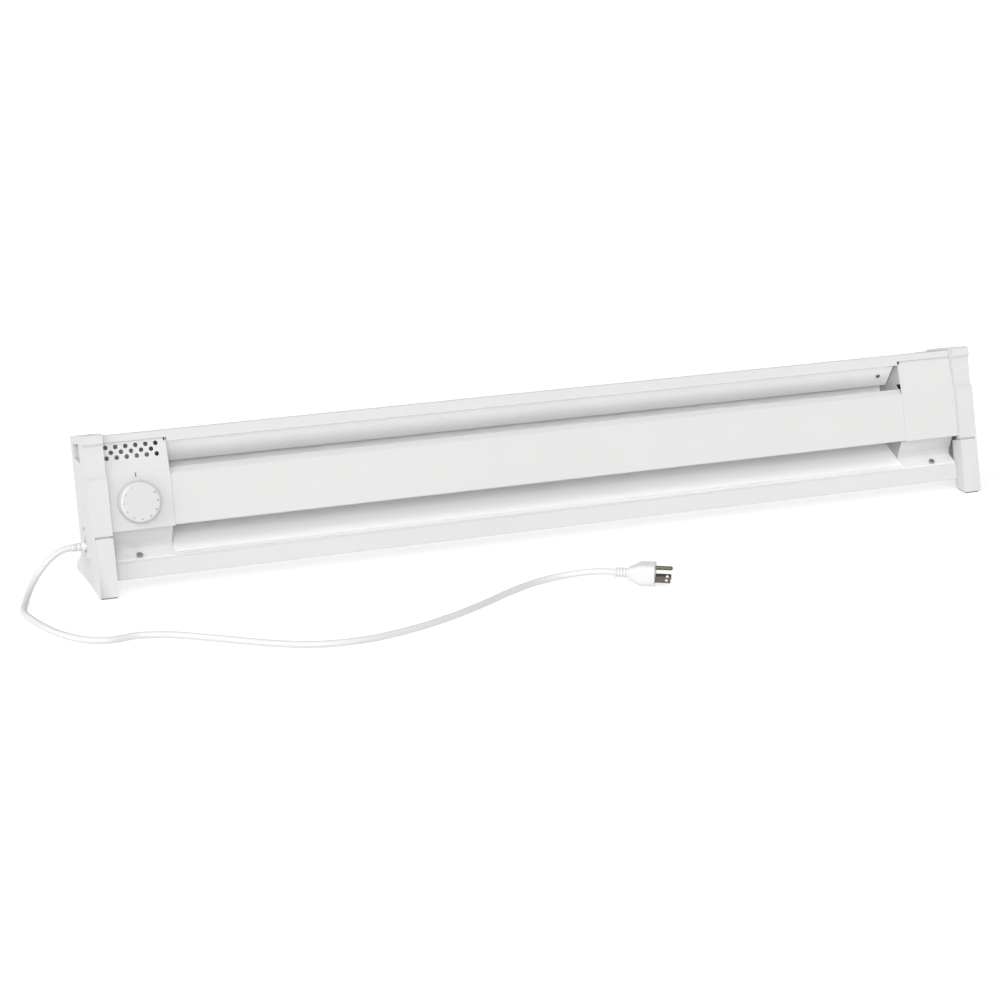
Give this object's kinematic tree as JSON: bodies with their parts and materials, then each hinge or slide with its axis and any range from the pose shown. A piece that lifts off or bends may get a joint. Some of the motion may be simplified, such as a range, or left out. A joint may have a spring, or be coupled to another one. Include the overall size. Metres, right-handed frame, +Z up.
{
  "type": "baseboard heater",
  "caption": "Portable electric baseboard heater: a long leaning white steel casing on moulded end feet, with a dial thermostat, vent slots and a mains cord.",
  "frame": {"origin": "centre of the bounding box without the cord, on the floor under the foot pads", "axes": "+X along the heater towards the end without controls, -Y to the front, +Z up"},
  "size_m": [1.1885, 0.3487, 0.1716],
  "materials": {
    "white_enamel": "semi-gloss white powder coat",
    "cap_plastic": "fine-textured white moulding",
    "pad_rubber": "matt",
    "element_sheath": "dull sheath",
    "terminal_brass": "plain",
    "fin_aluminium": "mill finish",
    "zinc_steel": "zinc plated",
    "bush_ceramic": "glazed ceramic",
    "phenolic": "moulded phenolic",
    "dark_moulding": "moulded",
    "knob_plastic": "satin white moulding",
    "print_ink": "printed ink",
    "wire_black": "insulation",
    "wire_white": "insulation",
    "wire_green": "insulation",
    "wire_red": "insulation",
    "pendulum_brass": "plain",
    "cap_screw_white": "painted head",
    "cord_white": "soft white PVC",
    "blade_metal": "plated blades"
  },
  "bodies": {
    "root": {"back_panel": "white_enamel", "air_deflector": "white_enamel", "lower_pan": "white_enamel", "front_panel": "white_enamel", "left_cover": "white_enamel", "right_cover": "white_enamel", "left_box_wall": "white_enamel", "right_box_wall": "white_enamel", "left_box_shield": "white_enamel", "right_box_shield": "white_enamel", "left_end_cap": "cap_plastic", "right_end_cap": "cap_plastic", "left_foot": "cap_plastic", "right_foot": "cap_plastic", "foot_pads": "pad_rubber", "heating_tube": "element_sheath", "element_terminals": "terminal_brass", "heat_fins": "fin_aluminium", "support_brackets": "zinc_steel", "element_bushes": "bush_ceramic", "thermostat_body": "phenolic", "thermostat_nut": "terminal_brass", "dial_index_mark": "print_ink", "limit_switch": "dark_moulding", "limit_capillary": "terminal_brass", "capillary_clips": "zinc_steel", "terminal_block": "bush_ceramic", "live_wire": "wire_black", "neutral_wire": "wire_white", "ground_wire": "wire_green", "element_lead": "wire_red", "return_wire": "wire_white", "tip_switch_body": "phenolic", "tip_switch_lid": "dark_moulding", "shield_screws": "zinc_steel", "deflector_screw": "zinc_steel", "cap_screws": "cap_screw_white", "rear_screws": "zinc_steel", "strain_relief": "cord_white", "power_cord": "cord_white", "plug_body": "cord_white", "plug_blades": "blade_metal", "plug_ground_pin": "blade_metal"},
    "knob": {"dial_knob": "knob_plastic", "dial_marks": "print_ink", "thermostat_shaft": "zinc_steel"},
    "pendulum": {"tip_switch_pendulum": "pendulum_brass"}
  },
  "joints": [
    {"name": "thermostat_turn", "type": "hinge", "parent": "root", "child": "knob", "pos_m": [-0.4945, -0.02709, 0.0968], "axis": [0, 0.9659, -0.2588], "range_deg": [0, 300]},
    {"name": "tip_pendulum_swing", "type": "hinge", "parent": "root", "child": "pendulum", "pos_m": [0.498, 0.004, 0.111], "axis": [1, 0, 0], "range_deg": [-25, 25]}
  ]
}
